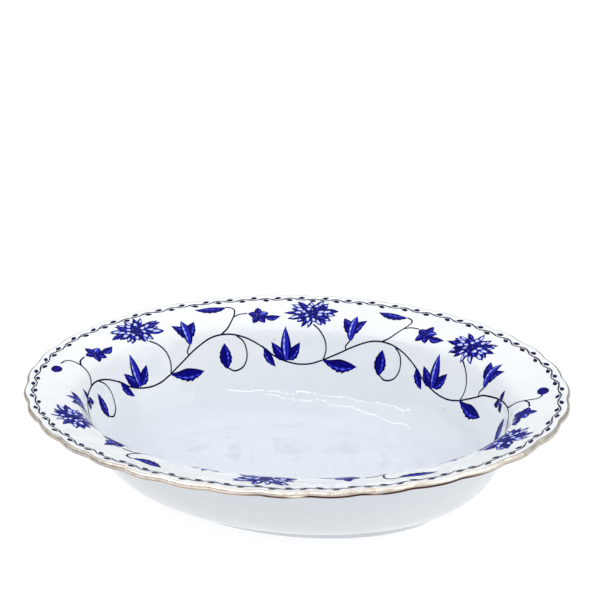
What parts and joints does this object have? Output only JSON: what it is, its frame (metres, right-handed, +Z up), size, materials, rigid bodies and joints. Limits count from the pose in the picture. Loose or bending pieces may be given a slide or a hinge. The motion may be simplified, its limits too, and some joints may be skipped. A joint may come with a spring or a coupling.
{
  "type": "serving bowl",
  "caption": "Oval open porcelain serving bowl with a scalloped flared rim, an oval foot ring, a gilt edge and blue printed decoration inside.",
  "frame": {"origin": "on the surface the bowl stands on, under the middle of the bowl", "axes": "+X along the bowl's length, +Y across its width, +Z up"},
  "size_m": [0.254, 0.1914, 0.057],
  "materials": {
    "glazed_porcelain": "clear gloss glaze over white porcelain",
    "foot_porcelain": "glazed sides, with a bare polished contact band underneath",
    "gilding": "burnished gold film, lightly rubbed",
    "border_print": "dark blue ceramic print under gloss",
    "vine_print": "cobalt blue ceramic print under gloss"
  },
  "bodies": {
    "root": {"porcelain_body": "glazed_porcelain", "foot_ring": "foot_porcelain", "gilt_edge": "gilding", "chain_border_transfer": "border_print", "vine_transfer_back": "vine_print", "vine_transfer_front": "vine_print"}
  },
  "joints": []
}
